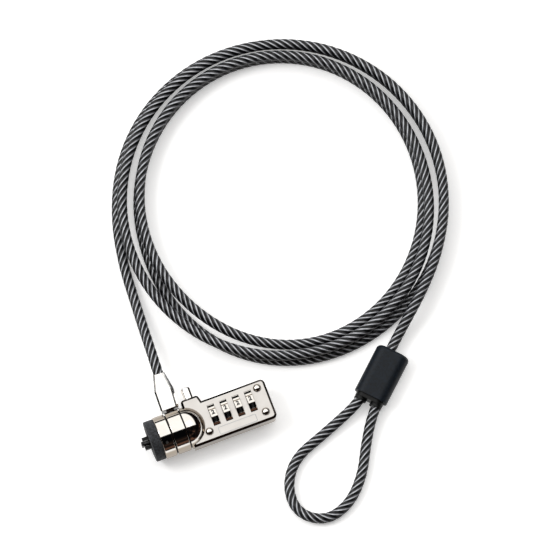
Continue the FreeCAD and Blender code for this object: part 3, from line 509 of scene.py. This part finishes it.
# Six strands that go once round in each lay; a valley lies at 0.84 of the rope's radius
STRANDS = 6
LAY = 25.0 * MM
STRAND_SIDES = 6
VALLEY = 0.84
CURVE_STEPS = 12
RING_STEP = 1.5 * MM


def rope_section():
    """Angle, radius and strand phase of each corner: six round strands, their valleys half filled by the
    coat. The phase is 0 in a valley and half a turn on a crest."""
    found = []
    for k in range(STRANDS * STRAND_SIDES):
        share = (k % STRAND_SIDES) / STRAND_SIDES
        lift = math.sqrt(max(0.0, 1 - (2 * share - 1) ** 2))
        radius = ROPE_DIAMETER / 2 * MM * (VALLEY + (1 - VALLEY) * lift)
        found.append((math.tau * k / (STRANDS * STRAND_SIDES), radius, math.tau * share))
    return found


def twisted_rope(name, line, finish):
    """A rope of twisted strands that follows the line."""
    section = rope_section()
    ways = np.gradient(line, axis=0)
    ways /= np.linalg.norm(ways, axis=1)[:, None]
    mesh_source = bmesh.new()
    marks = [mesh_source.verts.layers.float.new(mark) for mark in ("strand_cos", "strand_sin")]
    step = float(np.linalg.norm(line[1] - line[0]))
    first = Vector((0, 0, 1))
    rings = []
    for index, (place, way) in enumerate(zip(line, ways)):
        way = Vector(way)
        first = (first - way * first.dot(way)).normalized()
        second = way.cross(first)
        twist = math.tau * step * index / LAY
        ring = []
        for angle, radius, phase in section:
            out = first * math.cos(angle + twist) + second * math.sin(angle + twist)
            corner = mesh_source.verts.new(Vector(place) + out * radius)
            corner[marks[0]] = math.cos(phase)
            corner[marks[1]] = math.sin(phase)
            ring.append(corner)
        rings.append(ring)
    count = len(section)
    for low, high in zip(rings, rings[1:]):
        for k in range(count):
            mesh_source.faces.new((low[k], low[(k + 1) % count], high[(k + 1) % count], high[k]))
    mesh_source.faces.new(list(reversed(rings[0])))
    mesh_source.faces.new(rings[-1])
    bmesh.ops.recalc_face_normals(mesh_source, faces=mesh_source.faces)
    return new_piece(name, mesh_source, finish, "cable", "coated_rope",
                     "cable_lead", "cable_coil", "cable_tail", "cable_eye")


line, cable_length = evenly(smooth_line(cable_route(), CURVE_STEPS), RING_STEP)
rope = twisted_rope("wire_rope", line, ROPE)


# Numerals and the plate's raised frame, in millimetres

DIAL_RADIUS = 6.58
FLAT_HALF_ANGLE = 11.5
DIAL_FLAT = DIAL_RADIUS * math.cos(math.radians(FLAT_HALF_ANGLE))
DIGITS = 10
SHOWN_DIGIT = 2
SHOWN_ANGLE = 72
NUMERAL_SIZE = 3.1
NUMERAL_RISE = 0.03
NUMERAL_BOLD = 0.17


def numeral_mesh(numeral):
    """One numeral as a thin solid, centred, in millimetres on the XY plane."""
    data = bpy.data.curves.new("numeral", "FONT")
    data.body = numeral
    data.size = NUMERAL_SIZE
    data.extrude = NUMERAL_RISE
    data.resolution_u = 3
    data.offset = NUMERAL_BOLD
    holder = bpy.data.objects.new("numeral", data)
    bpy.context.scene.collection.objects.link(holder)
    mesh = bpy.data.meshes.new_from_object(holder.evaluated_get(bpy.context.evaluated_depsgraph_get()))
    bpy.data.objects.remove(holder)
    corners = [v.co for v in mesh.vertices]
    middle = Vector(((min(c.x for c in corners) + max(c.x for c in corners)) / 2,
                     (min(c.y for c in corners) + max(c.y for c in corners)) / 2, 0))
    mesh.transform(Matrix.Translation(-middle))
    return mesh


def dial_numerals(k, x):
    """The ten numerals filled into one dial's flats, upright when the plate's top edge is away."""
    numerals = bmesh.new()
    for digit in range(DIGITS):
        angle = math.radians(SHOWN_ANGLE + DIAL_TURN + 360 / DIGITS * (digit - SHOWN_DIGIT))
        up = Vector((0, math.sin(angle), -math.cos(angle)))
        out = Vector((0, math.cos(angle), math.sin(angle)))
        mesh = numeral_mesh(str(digit))
        centre = head(x, DIAL_AXIS_Y, 0) + out * (DIAL_FLAT + NUMERAL_RISE / 2) * MM
        turn = Matrix(((1, up.x, out.x), (0, up.y, out.y), (0, up.z, out.z))).to_4x4()
        mesh.transform(Matrix.Translation(centre) @ turn @ Matrix.Scale(MM, 4))
        numerals.from_mesh(mesh)
        bpy.data.meshes.remove(mesh)
    piece = new_piece(f"dial_{k}_numerals", numerals, LACQUER, f"code_wheel_{k}", "dial_black")
    for face in piece.data.polygons:
        face.use_smooth = False


for dial in range(DIALS):
    dial_numerals(dial + 1, FIRST_DIAL_X + DIAL_PITCH * dial)


def panel_frame():
    """The low raised frame on the plate, between the dials and its lower edge, round a plain panel."""
    low, high = Vector((35.5, -10.2)), Vector((56.4, -6.06))
    line_wide, line_rise, corner_cut = 0.3, 0.12, 0.7
    frame_mesh = bmesh.new()
    bmesh.ops.create_grid(frame_mesh, x_segments=1, y_segments=1, size=0.5)
    size, middle = high - low, (high + low) / 2
    bmesh.ops.scale(frame_mesh, verts=frame_mesh.verts, vec=(size.x, size.y, 1))
    bmesh.ops.translate(frame_mesh, verts=frame_mesh.verts, vec=(middle.x, middle.y, PLATE_FACE))
    bmesh.ops.bevel(frame_mesh, geom=frame_mesh.verts[:], affect="VERTICES", offset=corner_cut,
                    segments=5, profile=0.5, material=-1)
    inner = bmesh.ops.inset_region(frame_mesh, faces=frame_mesh.faces[:], thickness=line_wide,
                                   use_boundary=True, use_even_offset=True)
    field = [f for f in frame_mesh.faces if f not in inner["faces"]]
    bmesh.ops.delete(frame_mesh, geom=field, context="FACES")
    walls = bmesh.ops.extrude_face_region(frame_mesh, geom=frame_mesh.faces[:], use_keep_orig=True)
    raised = [g for g in walls["geom"] if isinstance(g, bmesh.types.BMVert)]
    bmesh.ops.translate(frame_mesh, verts=raised, vec=(0, 0, line_rise))
    bmesh.ops.recalc_face_normals(frame_mesh, faces=frame_mesh.faces)
    place = Matrix.Scale(MM, 4) @ Matrix.Translation(HEAD)
    bmesh.ops.transform(frame_mesh, matrix=place, verts=frame_mesh.verts)
    piece = new_piece("raised_panel_frame", frame_mesh, STEEL, "lock", "plain_steel")
    for face in piece.data.polygons:
        face.use_smooth = False


panel_frame()


# Floor, light and camera, in metres and degrees

FLOOR_REACH = 3.0
FLOOR_PLACE = (0.06, 0.06, -0.0001)
FLOOR_LIFT = 0.4
TENT_LIGHT = 1.5
TENT_SIDE_EDGE = -0.5
TENT_BACK_WAY = (0.0, 0.9925, 0.122)
LAMP_AIM = Vector((0.06, 0.05, 0))
LAMPS = [("key", (-0.6, 0.4, 0.9), 0.4, 4.5), ("fill", (0.5, 0.2, 1.0), 0.6, 0.7)]
VIEW_TURN = 20.7
VIEW_RISE = 77.0
VIEW_TARGET = Vector((0.0627, 0.0559, 0.005))
VIEW_LENS = 500.0
PICTURE_PIXELS = 555
PIXEL = 0.524 * MM


def paper_floor(scene):
    """White paper. What is seen of it, straight or in a mirror, is lifted to the white of the background; the
    lift throws no light on the lock."""
    floor_mesh = bmesh.new()
    bmesh.ops.create_grid(floor_mesh, x_segments=1, y_segments=1, size=FLOOR_REACH)
    bmesh.ops.translate(floor_mesh, verts=floor_mesh.verts, vec=FLOOR_PLACE)
    mesh = bpy.data.meshes.new("floor")
    floor_mesh.to_mesh(mesh)
    floor_mesh.free()
    floor = bpy.data.objects.new("floor", mesh)
    scene.collection.objects.link(floor)
    finish, tree, shader = new_finish("white_paper_floor")
    shader.inputs["Base Color"].default_value = paint("#F4F4F4")
    shader.inputs["Roughness"].default_value = 0.9
    shader.inputs["Specular IOR Level"].default_value = 0.1
    shader.inputs["Emission Color"].default_value = WHITE
    path = add_node(tree, "ShaderNodeLightPath")
    seen = math_step(tree, "ADD", path.outputs["Is Camera Ray"], path.outputs["Is Glossy Ray"])
    seen = math_step(tree, "ADD", seen, path.outputs["Is Transmission Ray"])
    lift = math_step(tree, "MULTIPLY", seen, FLOOR_LIFT)
    tree.links.new(lift, shader.inputs["Emission Strength"])
    mesh.materials.append(finish)


def light_tent(scene):
    """A white tent over the far side of the lock; the near side is a dark room with brown patches, which the
    chrome shows as its dark band. The tent's lower edge rises to both sides, so the band's ends curve."""
    world = bpy.data.worlds.new("studio")
    scene.world = world
    world.use_nodes = True
    tree = world.node_tree
    tree.nodes.clear()
    way = add_node(tree, "ShaderNodeTexCoord").outputs["Generated"]
    parts = add_node(tree, "ShaderNodeSeparateXYZ", None, Vector=way)
    tent = add_node(tree, "ShaderNodeVectorMath", {"operation": "DOT_PRODUCT", 1: TENT_BACK_WAY})
    tree.links.new(way, tent.inputs[0])
    behind = ramp(tree, tent.outputs["Value"], (0.0, BLACK), (0.03, WHITE))
    sideways = math_step(tree, "MULTIPLY", parts.outputs["X"], parts.outputs["X"])
    height = math_step(tree, "MULTIPLY_ADD", sideways, TENT_SIDE_EDGE, parts.outputs["Z"])
    above = ramp(tree, height, (0.13, BLACK), (0.22, WHITE))
    lit = math_step(tree, "MULTIPLY", behind.outputs["Color"], above.outputs["Color"])
    blotch = add_node(tree, "ShaderNodeTexNoise", {"Scale": 3.0, "Detail": 2.0}, Vector=way)
    room = ramp(tree, blotch.outputs["Fac"], (0.46, paint("#050506")), (0.60, paint("#1E1714")),
                (0.70, paint("#5A4034")))
    shade = add_node(tree, "ShaderNodeMix", {"data_type": "RGBA", 7: paint("#FFFEFC")}, Factor=lit)
    tree.links.new(room.outputs["Color"], shade.inputs[6])
    back = add_node(tree, "ShaderNodeBackground", {"Strength": TENT_LIGHT}, Color=shade.outputs[2])
    output = add_node(tree, "ShaderNodeOutputWorld")
    tree.links.new(back.outputs["Background"], output.inputs["Surface"])


def soft_lamps(scene):
    """A key lamp from the upper left, which throws the shadow to the lower right, and a weak fill."""
    for name, place, size, power in LAMPS:
        lamp = bpy.data.lights.new(name, "AREA")
        lamp.size = size
        lamp.energy = power
        holder = bpy.data.objects.new(name, lamp)
        holder.location = place
        holder.rotation_euler = (LAMP_AIM - Vector(place)).to_track_quat("-Z", "Y").to_euler()
        scene.collection.objects.link(holder)


def photo_camera(scene):
    """The camera, high over the lock and so far off that the lines hardly run together."""
    turn, rise = math.radians(VIEW_TURN), math.radians(VIEW_RISE)
    away = Vector((-math.sin(turn) * math.cos(rise), -math.cos(turn) * math.cos(rise), math.sin(rise)))
    data = bpy.data.cameras.new("photo_view")
    data.lens = VIEW_LENS
    camera = bpy.data.objects.new("photo_view", data)
    scene.collection.objects.link(camera)
    camera.location = VIEW_TARGET + away * (PICTURE_PIXELS * PIXEL * data.lens / data.sensor_width)
    camera.rotation_euler = (-away).to_track_quat("-Z", "Y").to_euler()
    scene.camera = camera


studio = bpy.context.scene
studio.view_settings.view_transform = "Standard"
paper_floor(studio)
light_tent(studio)
soft_lamps(studio)
photo_camera(studio)
